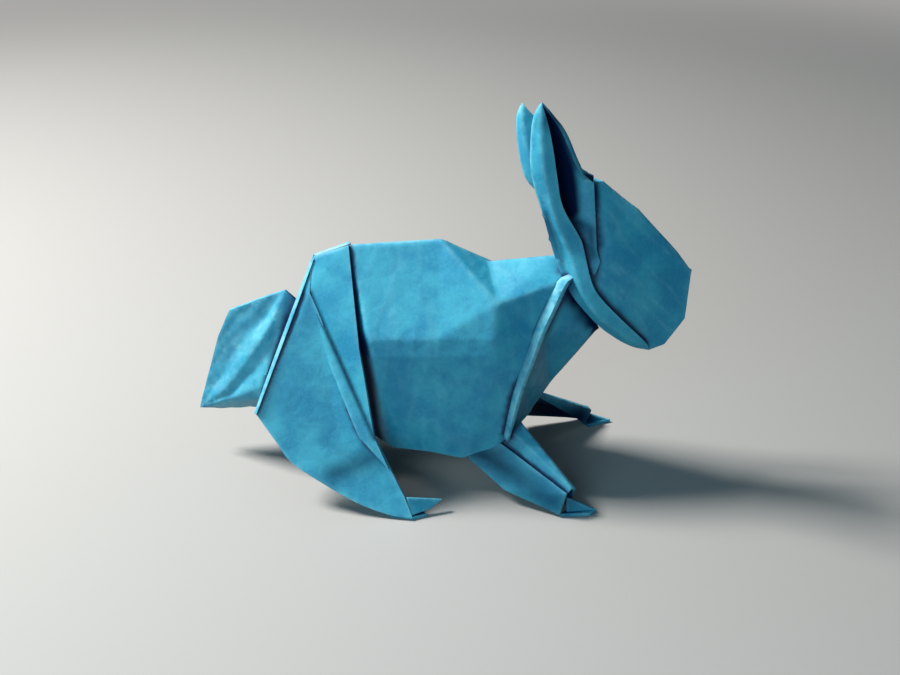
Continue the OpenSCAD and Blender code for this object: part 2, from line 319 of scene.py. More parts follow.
def paintHollowShade(sheet, shade, side):
    # painted shade: the paper is painted darker where little light gets into a hollow, strongest
    # along the shade's line and only where the sheet is turned far enough the way that the shade
    # faces
    count = len(sheet.data.vertices)
    places = np.array([corner.co for corner in sheet.data.vertices])
    normals = np.array([corner.normal for corner in sheet.data.vertices])
    facing = np.array(shade["facing"]) * (1, side, 1)
    turned = np.clip((normals @ facing - shade["turned"]) * 8, 0, 1)
    points = [np.array(p) * (1, side, 1) * mm for p in shade["line"]]
    amount = np.zeros(count)
    for line in zip(points, points[1:]):
        amount = np.maximum(amount, 1 - distanceTo(places, line) / (shade["reach"] * mm))
    hollow = sheet.data.attributes.get("hollow")
    if hollow is None:
        hollow = sheet.data.attributes.new("hollow", "FLOAT", "POINT")
    depth = np.zeros(count, np.float32)
    hollow.data.foreach_get("value", depth)
    depth = np.maximum(depth, amount * turned * shade["strength"])
    hollow.data.foreach_set("value", depth.astype(np.float32))


def crumple(sheet, plan, seed):
    # shallow dents with creases between them, as in paper that has been folded and opened
    clearSelection()
    size, streak = plan["dents"], plan.get("streak")
    normals = [v.normal.copy() for v in sheet.data.vertices]
    shift = Vector((seed * 3.7, seed * 1.9, seed * 5.3))
    for corner, normal in zip(sheet.data.vertices, normals):
        place = corner.co / mm
        cells = noise.voronoi(place / size + shift)[0]
        dents = (cells[1] - cells[0]) - paperPlan["level"]
        swell = noise.noise(place / (size * paperPlan["swell"]) + shift)
        dimple = noise.noise(place / (size * paperPlan["dimple"]) + shift)
        lift = plan["crumple"] * (paperPlan["creased"] * dents + paperPlan["swollen"] * swell
                                  + paperPlan["dimpled"] * dimple)
        if streak:
            along = Vector(streak["along"]).normalized()
            flat = place - along * place.dot(along) * paperPlan["streaked"]
            ridge = abs(noise.noise(flat / streak["size"] + shift))
            lift += streak["depth"] * (paperPlan["crest"] - ridge)
            # pale wear and painted highlight along the crests of the streaks
            wearAndHighlight = sheet.data.attributes["wearAndHighlight"].data[corner.index]
            wearAndHighlight.value = max(wearAndHighlight.value, streak["wornAndLit"] * (1 - ridge / paperPlan["crestWearAndHighlight"]))
        corner.co += normal * lift * mm


def thicken(sheet, layers):
    clearSelection()
    sheet.select_set(True)
    bpy.context.view_layer.objects.active = sheet
    wall = sheet.modifiers.new("wall", "SOLIDIFY")
    wall.thickness = layers * paperPlan["layer"] * mm
    wall.offset = 0
    wall.use_quality_normals = True
    wall.use_rim = True
    bpy.ops.object.modifier_apply(modifier=wall.name)
    edge = sheet.modifiers.new("edge", "BEVEL")
    edge.width = paperPlan["rounded"] * mm
    edge.segments = 2
    edge.limit_method = "ANGLE"
    edge.angle_limit = math.radians(paperPlan["cut"])
    edge.use_clamp_overlap = True
    bpy.ops.object.modifier_apply(modifier=edge.name)


sheets = []


def foldSheet(name, panels, plan, seed):
    sheet = layPanels(name, panels)
    folds, rims = foldLines(sheet, paperPlan)
    divide(sheet, plan.get("grain", paperPlan["grain"]))
    softenFolds(sheet, folds, plan.get("soften", 1))
    clearSelection()
    paintWearAndHighlight(sheet, folds, rims, paperPlan, plan.get("wornAndLit", 0))
    crumple(sheet, plan, seed)
    thicken(sheet, plan["layers"])
    print(name, len(sheet.data.polygons), "faces")
    sheets.append(sheet)
    return sheet


def panelsOf(plan, listed):
    # panels whose corners are named in the plan, or given as they are
    return [[plan[corner] if isinstance(corner, str) else corner for corner in panel]
            for panel in listed]


# The tented body and the chest
body = {
    "layers": 7,
    "crumple": 0.26,   # how deep the dents are
    "dents": 11,       # and how large
    "grain": 1.4,
    "streak": {"along": (0.05, 0.2, 1), "depth": 0.1, "size": 4.5, "wornAndLit": 0.2},
    # painted shade under the chin, and in the gap beside the haunch
    "underChin": {"line": [(34.5, 3.4, 56.5), (38, 2, 50.5), (41.5, 0, 44.5)], "reach": 5.5,
                  "facing": (1, 0, 0), "turned": 0.4, "strength": 1},
    "besideHaunch": {"line": [(-17.5, 8.6, 40), (-16.6, 8.8, 28), (-15.4, 8.6, 12)], "reach": 6,
                     "facing": (0, 1, 0), "turned": 0.3, "strength": 1},
    "rump": (-29.5, 0, 60), "loin": (-20.5, 0, 63.5), "back": (2, 0, 66),
    "dip": (14, 0, 60), "nape": (30.5, 0, 62.5), "shoulder": (17, 9.9, 54),
    "sideRear": (-30, 5, 41), "sideDeep": (-18, 8, 42.5), "sideTurn": (-14.4, 11, 43.2),
    "sideCrease": (2.3, 11.8, 44.5), "sideFore": (16.5, 12.4, 45.5),
    "valleyDeep": (-18, 8.4, 38), "valleyTurn": (-13.9, 11.7, 38.7),
    "valleyCrease": (2.2, 12.5, 39.8), "valleyFore": (16.6, 12.9, 41),
    "pleatDeep": (-18, 7.8, 33.5), "pleatTurn": (-13.2, 11.8, 34.2),
    "pleatCrease": (2.3, 12.5, 35), "pleatFore": (16.7, 12.7, 36.3),
    "lowDeep": (-16.5, 7.5, 20), "lowTurn": (-11, 12.3, 19.5), "lowCrease": (1.2, 12.9, 18.5),
    "lowFore": (11.5, 13.2, 17.5),
    "bellyRear": (-33, 6, 22), "bellyDeep": (-15.5, 7.5, 13), "bellyTurn": (-9.5, 11.6, 11.4),
    "bellyCrease": (0.5, 12, 11), "bellyFore": (8.5, 12.7, 10), "elbowGap": (16.5, 12, 12.5),
    "collar": (33.2, 4.9, 58.4), "rimHigh": (28, 8, 46), "rimLow": (23.6, 11, 32),
    "rimEnd": (20.3, 11, 16), "throat": (42, 0, 43), "breast": (30, 0, 25.5),
    "keel": (25.5, 0, 17), "neck": (41, 5.4, 61),
}
bodyPanels = panelsOf(body, [
    ["rump", "loin", "sideRear"], ["loin", "sideDeep", "sideRear"],
    ["loin", "sideTurn", "sideDeep"], ["loin", "back", "sideTurn"],
    ["back", "sideCrease", "sideTurn"], ["back", "shoulder", "sideCrease"],
    ["back", "dip", "shoulder"], ["dip", "nape", "shoulder"],
    ["shoulder", "sideFore", "sideCrease"],
    ["sideRear", "sideDeep", "valleyDeep"], ["sideRear", "valleyDeep", "pleatDeep"],
    ["sideRear", "pleatDeep", "bellyRear"], ["pleatDeep", "lowDeep", "bellyRear"],
    ["lowDeep", "bellyDeep", "bellyRear"],
    ["sideDeep", "sideTurn", "valleyTurn", "valleyDeep"],
    ["valleyDeep", "valleyTurn", "pleatTurn", "pleatDeep"],
    ["pleatDeep", "pleatTurn", "lowTurn", "lowDeep"],
    ["lowDeep", "lowTurn", "bellyTurn", "bellyDeep"],
    ["sideTurn", "sideCrease", "valleyCrease", "valleyTurn"],
    ["sideCrease", "sideFore", "valleyFore", "valleyCrease"],
    ["valleyTurn", "valleyCrease", "pleatCrease", "pleatTurn"],
    ["valleyCrease", "valleyFore", "pleatFore", "pleatCrease"],
    ["pleatTurn", "pleatCrease", "lowCrease", "lowTurn"],
    ["pleatCrease", "pleatFore", "lowFore", "lowCrease"],
    ["lowTurn", "lowCrease", "bellyCrease", "bellyTurn"],
    ["lowCrease", "lowFore", "bellyFore", "bellyCrease"],
    ["pleatFore", "elbowGap", "lowFore"], ["lowFore", "elbowGap", "bellyFore"],
    ["nape", "collar", "shoulder"], ["nape", "neck", "collar"],
    ["shoulder", "collar", "rimHigh"], ["shoulder", "rimHigh", "sideFore"],
    ["sideFore", "rimHigh", "valleyFore"], ["rimHigh", "rimLow", "valleyFore"],
    ["valleyFore", "rimLow", "pleatFore"], ["pleatFore", "rimLow", "elbowGap"],
    ["rimLow", "rimEnd", "elbowGap"],
    ["collar", "throat", "rimHigh"], ["rimHigh", "throat", "breast"],
    ["rimHigh", "breast", "rimLow"], ["rimLow", "breast", "keel"], ["rimLow", "keel", "rimEnd"],
])
bodySheet = foldSheet("bodySheet", bodyPanels + flip(bodyPanels), body, 1)
for side in (1, -1):
    for shade in ("underChin", "besideHaunch"):
        paintHollowShade(bodySheet, body[shade], side)

# The hem that is rolled back over the front edge of each side
hem = {
    "layers": 7,
    "crumple": 0.06,
    "dents": 9,
    "grain": 1,
    "soften": 0,       # how often the points of a fold are drawn in to round it
    "wornAndLit": 0.9,       # a painted highlight over the whole sheet, as its least wear
    "line": [(35, 4.4, 60), moved(body["collar"], (0, -0.4, -0.2)), (30.4, 6.5, 51.8),
             body["rimHigh"], (25.9, 9.4, 39), body["rimLow"], (21.9, 11.3, 24), body["rimEnd"]],
    "width": [1.0, 1.8, 1.9, 1.75, 1.55, 1.4, 1.2, 0.8],
    # rearwards and outwards from the line, at a width of 1
    "profile": [(-1.1, 0.8), (-0.9, 1.15), (-0.15, 2.0), (0.2, 1.7), (0.4, 0.35)],
}


def rolledHem(plan):
    line = curved(plan["line"], 3)
    widths = curvedSizes(plan["width"], 3)
    rows = []
    for back, out in plan["profile"]:
        rows.append([(p[0] + back * w, p[1] + out * (0.55 + 0.3 * w), p[2] - 0.1 * back)
                     for p, w in zip(line, widths)])
    return stripsOf(rows)


foldSheet("leftHem", rolledHem(hem), hem, 2)
foldSheet("rightHem", flip(rolledHem(hem)), hem, 3)

# The haunches: two facets at the top and the front, and the wide flap that laps over them
haunch = {
    "layers": 8,
    "crumple": 0.26,
    "dents": 10,
    "hock": (-43.5, 16.5, 23), "heel": (-2.5, 27, 0.6), "top": (-30.5, 4.5, 52),
    "loin": (-20.5, 0.7, 63.7), "rump": (-29.5, 0.4, 60), "flank": (-17, 12, 41),
    "bow": 5.5,        # how far the flap's lower edge bows out
    "lap": 0.8,        # how far the front facet lies under the flap
    "bulge": 1.3,      # how far the middle of the flap stands out
}
hockPoint, heelPoint, topPoint = (Vector(haunch[k]) for k in ("hock", "heel", "top"))
alongFlap = heelPoint - hockPoint
acrossFlap = hockPoint - topPoint
downFlap = acrossFlap - alongFlap * (acrossFlap.dot(alongFlap) / alongFlap.dot(alongFlap))
downFlap = downFlap.normalized()
outOfFlap = downFlap.cross(alongFlap).normalized()


def onFlap(share, drop, out=0.0):
    # a point by the plane of the flap, from the line between the hock and the heel
    return tuple(hockPoint + alongFlap * share + downFlap * drop + outOfFlap * out)


haunch["knee"] = onFlap(0.6, -12)
haunch["ankle"] = onFlap(0.9, -3.5)
haunch["kneeUnder"] = onFlap(0.6, -12, -haunch["lap"])
haunch["kneeBehind"] = onFlap(0.53, -10, -haunch["lap"])
haunch["shin"] = onFlap(0.75, -7.4, -haunch["lap"])
haunch["topBehind"] = (-31.6, 4.6, 49.5)
haunch["crown"] = moved(haunch["top"], (0.4, 0.25, 0.1))
# the shade beside the flap's edge, and where the lower flap falls away from the light
haunch["seam"] = {"line": [haunch["crown"], haunch["kneeUnder"]], "reach": 1.5,
                  "facing": (0, 1, 0), "turned": 0.2, "strength": 0.6}
haunch["slack"] = {"line": [(-23.5, 22.6, 9.5), (-12, 20.5, 15)], "reach": 8,
                   "facing": (0, 1, 0), "turned": 0.2, "strength": 0.4}
middleOfFlap = onFlap(0.5, -3.5, haunch["bulge"])
flapEdge = curved([haunch["hock"], onFlap(0.16, 3), onFlap(0.3, haunch["bow"]),
                   onFlap(0.5, haunch["bow"]), onFlap(0.7, haunch["bow"] - 0.7),
                   onFlap(0.88, 2.8), haunch["heel"]], 3)
underPanels = panelsOf(haunch, [
    ["rump", "loin", "top"], ["top", "loin", "flank"], ["top", "flank", "kneeUnder"],
    ["top", "kneeUnder", "kneeBehind", "topBehind"], ["kneeUnder", "shin", "kneeBehind"],
])
flapPanels = [[middleOfFlap, a, b] for a, b in zip(flapEdge, flapEdge[1:])]
flapPanels += [[middleOfFlap, haunch["heel"], haunch["ankle"]],
               [middleOfFlap, haunch["ankle"], haunch["knee"]],
               [middleOfFlap, haunch["knee"], haunch["crown"]],
               [middleOfFlap, haunch["crown"], haunch["hock"]],
               [haunch["rump"], haunch["hock"], haunch["crown"]]]

# The fold at the rear of each haunch, where the paper is rolled round
roll = {
    "layers": 3,
    "crumple": 0.05,
    "dents": 9,
    "grain": 1,
    "soften": 0,
    # a painted highlight over the whole roll, as its least wear
    "wornAndLit": 0.95,
    "start": (-0.1, 0.2, -0.4),   # its upper end, from the rump
    "width": [0.9, 1.25, 1.35, 1.25, 1.0],
    "profile": [(-1.2, 0.5), (-0.8, 0.68), (-0.1, 0.5), (0.3, 0.1), (0.15, -0.5), (-0.6, -0.62)],
}


def rolledFold(plan, top, bottom, ahead):
    # wound round the straight edge from top to bottom of a flat panel that reaches to ahead
    start, end = Vector(top), Vector(bottom)
    run = (end - start).normalized()
    back = -(Vector(ahead) - start)
    back = (back - run * back.dot(run)).normalized()
    out = back.cross(run)
    count = len(plan["width"]) * 3 - 2
    widths = curvedSizes(plan["width"], 3)
    rows = []
    for rearward, outward in plan["profile"]:
        rows.append([tuple(start.lerp(end, i / (count - 1)) + (back * rearward + out * outward) * w)
                     for i, w in enumerate(widths)])
    return stripsOf(rows)


rollPanels = rolledFold(roll, moved(haunch["rump"], roll["start"]), haunch["hock"],
                        haunch["crown"])
foldSheet("leftRoll", rollPanels, roll, 24)
foldSheet("rightRoll", flip(rollPanels), roll, 25)
for name, side, seed in (("left", 1, 4), ("right", -1, 5)):
    under = foldSheet(name + "HaunchUnder", onSide(underPanels, side), haunch, seed)
    paintHollowShade(under, haunch["seam"], side)
    flap = foldSheet(name + "HaunchFlap", onSide(flapPanels, side), haunch, seed + 20)
    paintHollowShade(flap, haunch["slack"], side)

# The tail, hollow and open below
tail = {
    "layers": 7,
    "crumple": 0.3,
    "dents": 6,
    # a painted highlight over the whole tail, as its least wear, and more along its streaks
    "wornAndLit": 0.3,
    "streak": {"along": (-0.6, 0.05, -0.8), "depth": 0.5, "size": 3.4, "wornAndLit": 0.75},
    "rump": (-30.5, 0.1, 57), "root": (-34.5, 0.1, 47), "seat": (-38, 5, 22),
    "hock": (-41.6, 14.4, 23.8), "low": (-44, 7, 25), "hem": (-44.5, 6.5, 21.5),
    "keel": (-47.5, 0, 14.5),
    "outline": [(-37.5, 0, 50), (-44.6, 0, 47.2), (-52.5, 0, 43.5), (-56, 0, 36),
                (-59.6, 0, 24.8), (-63.2, 0, 13.3)],
    "valley": [(-37.5, 0, 50), (-42.6, 0.8, 42.8), (-47.6, 1.7, 37.6), (-52.2, 1.5, 31),
               (-57.2, 1.2, 21.9), (-63.2, 0, 13.3)],
    "ridge": [(-37.5, 0, 50), (-40.6, 2.5, 43), (-44.2, 4.5, 37), (-48.6, 4.4, 30.7),
              (-54.6, 3.4, 21.9), (-63.2, 0, 13.3)],
    "furrow": [(-37.5, 0, 50), (-40, 3, 40.3), (-43, 4.3, 33.6), (-46.4, 4.4, 28.3),
               (-52.6, 3.7, 20.8), (-63.2, 0, 13.3)],
    "edge": [(-37.5, 0, 50), (-39.6, 3.9, 37), (-42.2, 6.2, 29.6), (-44, 7, 25),
             (-51.5, 4.7, 20.4), (-63.2, 0, 13.3)],
}
tailPanels = panelsOf(tail, [
    ["rump", "root", "hock"], ["root", "seat", "hock"], ["root", "low", "seat"],
])
tailPanels += [[tail["outline"][0], tail["edge"][1], tail["root"]],
               [tail["edge"][1], tail["edge"][2], tail["root"]],
               [tail["edge"][2], tail["low"], tail["root"]],
               [tail["outline"][-1], tail["hem"], tail["edge"][4]],
               [tail["hem"], tail["low"], tail["edge"][4]],
               [tail["outline"][-1], tail["keel"], tail["hem"]]]
tailPanels += stripsOf([tail[line] for line in ("outline", "valley", "ridge", "furrow", "edge")])
foldSheet("leftTail", tailPanels, tail, 6)
foldSheet("rightTail", flip(tailPanels), tail, 7)

# The face, folded over the brow
face = {
    "layers": 7,
    "crumple": 0.22,
    "dents": 9,
    "grain": 1.05,
    "streak": {"along": (0.72, 0.05, -0.69), "depth": 0.03, "size": 3.6, "wornAndLit": 0.34},
    # painted shade on the face beside the edge of the temple strip
    "behindBrow": {"line": [(38.9, 1.2, 82.5), (40.1, 3.9, 75.5), (41, 5.2, 68.5)], "reach": 1.9,
                   "facing": (0, 1, 0), "turned": 0.2, "strength": 0.55},
    "crown": (40.5, 0, 82.5), "brow": (50, 0, 75), "muzzle": (59.5, 0, 65), "nose": (63.4, 0, 60),
    "snout": (62.9, 1.2, 47.5), "chinFront": (58.5, 2.2, 40.5), "chin": (54.5, 3, 39),
    "poll": (38.5, 0.8, 82.8), "cheekTop": (36.5, 4.8, 66.5), "cheek": (41.5, 6.6, 55.2),
    "jowl": (47, 6, 47.6), "temple": (43.5, 3.9, 69), "middle": (52, 3.7, 60.5),
}
facePanels = panelsOf(face, [
    ["poll", "crown", "brow", "temple"], ["poll", "temple", "cheekTop"],
    ["temple", "brow", "muzzle"], ["temple", "muzzle", "middle"], ["temple", "middle", "cheek"],
    ["cheekTop", "temple", "cheek"], ["muzzle", "nose", "middle"], ["nose", "snout", "middle"],
    ["middle", "snout", "chinFront"], ["middle", "chinFront", "jowl"], ["middle", "jowl", "cheek"],
    ["jowl", "chinFront", "chin"],
])
faceSheet = foldSheet("faceSheet", facePanels + flip(facePanels), face, 8)
for side in (1, -1):
    paintHollowShade(faceSheet, face["behindBrow"], side)

# The ears, with the strips that run on from them along the jaw and beside the face
ear = {
    "layers": 6,
    "crumple": 0.16,
    "dents": 8,
    "leftLean": 8,       # how far the left ear leans back, in degrees
    "leftShare": 0.93,   # and how long it is beside the right one
    "root": (30.5, 3, 63.5),
    "back": [(25.6, 5, 103.1), (23.8, 5, 99), (23.6, 5, 88), (24.8, 5, 82), (27, 5, 75.5),
             (28.8, 4.2, 69), (30.5, 3.4, 63.5), (34.3, 5, 55.5), (41.3, 5.6, 47.6),
             (45.2, 5.4, 44.2), (50, 4.6, 41), (54.3, 3.2, 39.3)],
    "crest": [(25.6, 5, 103.1), (25.6, 6.6, 98.3), (26.4, 7.6, 90), (27.6, 7.8, 84),
              (29.4, 7.6, 77.3), (32.1, 6.9, 70.2), (33.8, 6.6, 65.8), (36.7, 7.5, 57.8),
              (41, 8, 51), (46, 7.4, 46.7), (51.8, 5.4, 41.7), (54.3, 3.2, 39.3)],
    "rim": [(25.6, 5, 103.1), (27.5, 6.2, 97.5), (28.9, 7, 91.5), (29.9, 7.4, 86), (31.5, 7.6, 79),
            (35.6, 6.6, 71.4), (36.9, 6.7, 68.2), (39.2, 7.8, 60.1), (41.7, 7.9, 55.7),
            (47.4, 7.3, 49.4), (53.8, 4.9, 42), (54.3, 3.2, 39.3)],
    "deep": [(25.6, 5, 103.1), (25.2, 3.1, 98.5), (26, 1.7, 90), (27.8, 1.4, 83.5),
             (30.6, 1.6, 77)],
    "far": [(25.6, 5, 103.1), (28.2, 4.3, 100.2), (31.3, 3.4, 96), (34.3, 2.9, 89.5),
            (36.8, 1.9, 84)],
    "hemWay": (-0.9, 0.75, -0.1),          # the way the hem of the inner edge is turned
    "hemWidth": [0.1, 0.7, 1.0, 1.1, 0.9],   # and its width down the edge
    "dent": [0, 0.1, 0.2, 0.4, 0.9, 1.4, 1.2, 0.6, 0.2, 0, 0, 0],   # the fold down the strip
    # painted shade: in the ear's cavity, beside the temple below it, and on the back facet of the
    # strip
    "hollow": {"line": [(26.5, 3.5, 98.5), (29, 2.6, 92), (31.2, 2.3, 86.5), (32.2, 2.4, 81),
                        (32.8, 3, 76.5)], "reach": 4.2,
               "facing": (0, 1, 0), "turned": 0.1, "strength": 1},
    "shaded": {"line": [(34, 3.5, 74), (38.3, 4.6, 72), (39.3, 5.4, 66)], "reach": 3.4,
               "facing": (0, 1, 0), "turned": 0.1, "strength": 0.4},
    "tucked": {"line": [(27.2, 5.2, 76), (29.4, 4.9, 69), (31.8, 4.6, 62)], "reach": 2,
               "facing": (0, 1, 0), "turned": 0.1, "strength": 0.4},
    "loose": 4,          # how many points of each line, from the tip, lean with the ear
    "templeTop": (38.5, 2, 83), "templeMid": (40.1, 5.4, 67.4), "templeEnd": (41.1, 5.7, 64.4),
    "templeFoot": (40, 6.4, 61),
    "hollowFoot": (33.5, 3.6, 71.5),
}


def leanedPoint(p, root, lean, share):
    # a point of the ear above its root, leaned back and drawn in
    v, a = (Vector(p) - Vector(root)) * share, math.radians(lean)
    return (root[0] + v.x * math.cos(a) - v.z * math.sin(a), root[1] + v.y,
            root[2] + v.z * math.cos(a) + v.x * math.sin(a))


def leanedEar(plan, lean, share):
    lines = {}
    for key in ("back", "crest", "rim", "deep", "far"):
        free, fixed = plan[key][:plan["loose"]], plan[key][plan["loose"]:]
        lines[key] = curved([leanedPoint(p, plan["root"], lean, share) for p in free] + fixed, 4)
    dents = curvedSizes(plan["dent"], 4)
    lines["fold"] = [moved(onTheWay(a, b, 0.5), (0.2 * dent, -dent, 0))
                     for a, b, dent in zip(lines["back"], lines["crest"], dents)]
    panels = (strip(lines["fold"], lines["back"]) + strip(lines["crest"], lines["fold"])
              + strip(lines["rim"], lines["crest"]))
    upper = lines["back"][:len(lines["deep"])]
    panels += strip(upper, lines["deep"]) + strip(lines["deep"], lines["far"])
    turnedBack = [moved(p, tuple(w * d for d in plan["hemWay"]))
                  for p, w in zip(lines["far"], curvedSizes(plan["hemWidth"], 4))]
    panels += strip(lines["far"], turnedBack)
    backEnd, end, deepEnd = plan["back"][4], plan["far"][4], plan["deep"][4]
    panels += panelsOf(plan, [
        [backEnd, "hollowFoot", deepEnd], [deepEnd, "hollowFoot", "templeMid"],
        [deepEnd, "templeMid", end], [end, "templeMid", "templeTop"],
        ["hollowFoot", "templeEnd", "templeMid"], ["hollowFoot", "templeFoot", "templeEnd"],
        [backEnd, plan["back"][5], "hollowFoot"],
        [plan["back"][5], plan["back"][6], "templeFoot", "hollowFoot"],
    ])
    return panels


for name, lean, share, side, seed in (("left", ear["leftLean"], ear["leftShare"], 1, 9),
                                      ("right", 0, 1, -1, 10)):
    earSheet = foldSheet(name + "Ear", onSide(leanedEar(ear, lean, share), side), ear, seed)
    middle = [leanedPoint(p, ear["root"], lean, share) for p in ear["hollow"]["line"]]
    for shade in (dict(ear["hollow"], line=middle), ear["shaded"], ear["tucked"]):
        paintHollowShade(earSheet, shade, side)

# The front legs: a side flap that laps over the folded top
frontLeg = {
    "layers": 8,
    "crumple": 0.2,
    "dents": 7,
    "rootLow": (8.8, 12.2, 11), "rootSide": (18.6, 11.7, 14.5), "rootTop": (21.5, 10.3, 17.3),
    "rootIn": (23.3, 8.5, 18.8), "elbow": (20, 17.5, 4), "sole": (34.5, 22.5, 0.6),
    "lap": (0.25, -0.75, -0.45),   # where the folded top lies from the upper edge of the flap
    "shin": [(12, 12, 12), (33, 20, 4)],
    # painted shade along the shin: on the leg's inward faces, and more lightly on its outward ones
    "inner": {"reach": 10, "facing": (0, -1, 0), "turned": -0.1, "strength": 0.75},
    "outer": {"reach": 10, "facing": (0, 1, 0), "turned": 0.3, "strength": 0.48},
}
# How far each foot is set forward, how high its ankle stands and how far its toe turns in
rightStep = {"stride": 0, "ankle": 1, "turn": 3}
leftStep = {"stride": 4.5, "ankle": 0.65, "turn": 0.5}
sole = {"layers": 10, "crumple": 0.05, "dents": 6, "middle": 0.52}


def onFloor(corners):
    # one panel that lies along the ground
    return [[(x, y, sole["middle"]) for x, y, z in corners]]


def legPanels(leg, step):
    placed = dict(leg)
    heel = moved(leg["sole"], (step["stride"], 0, 0))
    placed["sole"] = heel
    placed["elbow"] = moved(leg["elbow"], (step["stride"] * 0.4, 0, 0))
    placed["pastern"] = moved(heel, (-3.5, -1.2, 1))
    placed["ankleSide"] = moved(heel, (1.5, -0.5, 6.6 * step["ankle"]))
    placed["ankleTop"] = moved(heel, (2.5, -1.5, 7.3 * step["ankle"]))
    placed["ankleIn"] = moved(heel, (3.5, -2.5, 6.6 * step["ankle"]))
    placed["inside"] = moved(heel, (2, -3, 0.4))
    placed["toe"] = moved(heel, (9.3, -step["turn"], 0))
    placed["underRoot"] = moved(leg["rootSide"], leg["lap"])
    placed["underAnkle"] = moved(placed["ankleSide"], leg["lap"])
    placed["toeRoot"] = moved(heel, (1.2, -1.4, 5 * step["ankle"]))
    placed["toeHeel"] = moved(heel, (1.5, -1.3, 0.3))
    flap = panelsOf(placed, [
        ["rootLow", "rootSide", "elbow"], ["elbow", "rootSide", "ankleSide"],
        ["elbow", "ankleSide", "pastern"], ["pastern", "ankleSide", "sole"],
    ])
    top = panelsOf(placed, [
        ["underRoot", "rootTop", "ankleTop", "underAnkle"],
        ["rootTop", "rootIn", "ankleIn", "ankleTop"], ["rootIn", "inside", "ankleIn"],
    ])
    toe = panelsOf(placed, [["toeRoot", "toe", "toeHeel"]])
    flat = onFloor([heel, moved(heel, (7.5, -step["turn"] / 3, 0)), placed["toe"],
                    moved(heel, (3, -3.8, 0))])
    return (("Flap", flap, leg), ("Top", top, leg), ("Toe", toe, leg), ("Sole", flat, sole))


for name, step, side, seed in (("leftFront", leftStep, 1, 11), ("rightFront", rightStep, -1, 12)):
    knee, foot = frontLeg["shin"]
    shin = [knee, moved(foot, (step["stride"], 0, 0))]
    for part, panels, plan in legPanels(frontLeg, step):
        legSheet = foldSheet(name + part, onSide(panels, side), plan, seed)
        for shade in ("inner", "outer"):
            paintHollowShade(legSheet, dict(frontLeg[shade], line=shin), side)

# The hind toes
ankle, heel = haunch["ankle"], haunch["heel"]
hindToe = {
    "layers": 8,
    "crumple": 0.12,
    "dents": 6,
    "bend": moved(ankle, (0.3, -0.1, -0.2)), "toe": (4.5, 22.3, 3.6), "toeLow": (1.5, 24.3, 1.8),
    "ankleLow": moved(ankle, (0.8, 0.6, -2.4)), "underHeel": moved(heel, (-0.5, -0.5, 0.5)),
}
hindPanels = panelsOf(hindToe, [
    ["bend", "toe", "toeLow", "ankleLow"], ["ankleLow", "toeLow", "underHeel"],
])
hindSole = onFloor([moved(heel, (-6, -0.8, 0)), heel, moved(heel, (3.4, -1.8, 0)),
                    moved(heel, (0, -4, 0))])
for name, side, seed in (("leftHind", 1, 13), ("rightHind", -1, 14)):
    foldSheet(name + "Toe", onSide(hindPanels, side), hindToe, seed)
    foldSheet(name + "Sole", onSide(hindSole, side), sole, seed)

# One sheet of paper, so one piece
clearSelection()
for sheet in sheets:
    sheet.select_set(True)
bpy.context.view_layer.objects.active = sheets[0]
bpy.ops.object.join()
rabbit = bpy.context.object
rabbit.name = "foldedPaper"
bpy.ops.object.shade_smooth_by_angle(angle=math.radians(paperPlan["smooth"]))
paintRecessShade(rabbit, paperPlan)
print("the sheet has", len(rabbit.data.polygons), "faces")

# The finish of the paper
finish = {
    "lit": (0.04, 0.40, 0.56, 1),
    "deep": (0.01, 0.27, 0.46, 1),
    # the painted shade of recesses, and the darker painted shade of hollows
    "inside": (0.002, 0.04, 0.12, 1),
    "hollowShadeColour": (0.001, 0.01, 0.05, 1),
    # the pale colour of fibres, of wear and of painted highlight
    "wornAndLit": (0.26, 0.66, 0.78, 1),
    # scale, detail and roughness of a noise, and the values between which it sets in
    "mottle": (110, 4, 0.6, 0.34, 0.66),
    "fibre": (1500, 3, 0.7, 0.42, 0.72),
    "fibreShare": 0.1,
    "wearAndHighlightPatches": (330, 3, 0.6, 0.25, 0.65),
    "wearAndHighlightShare": 0.75,
    # where the painted shade of recesses and of hollows sets in, and where it is full
    "recessFrom": 0.08,
    "recessFull": 0.42,
    "hollowShadeFrom": 0.05,
    "hollowShadeFull": 0.6,
    "sheen": (240, 3),     # scale and detail of the noise that varies the roughness
    "roughest": 0.6,
    "smoothest": 0.42,
    "shine": 0.5,
    "hollowShadeShine": 0.05,
    "crinkle": (190, 0.4, 0.4),     # scale, strength and depth of the small creases
    "grain": (1800, 0.22, 0.12),    # and of the paper's grain
}


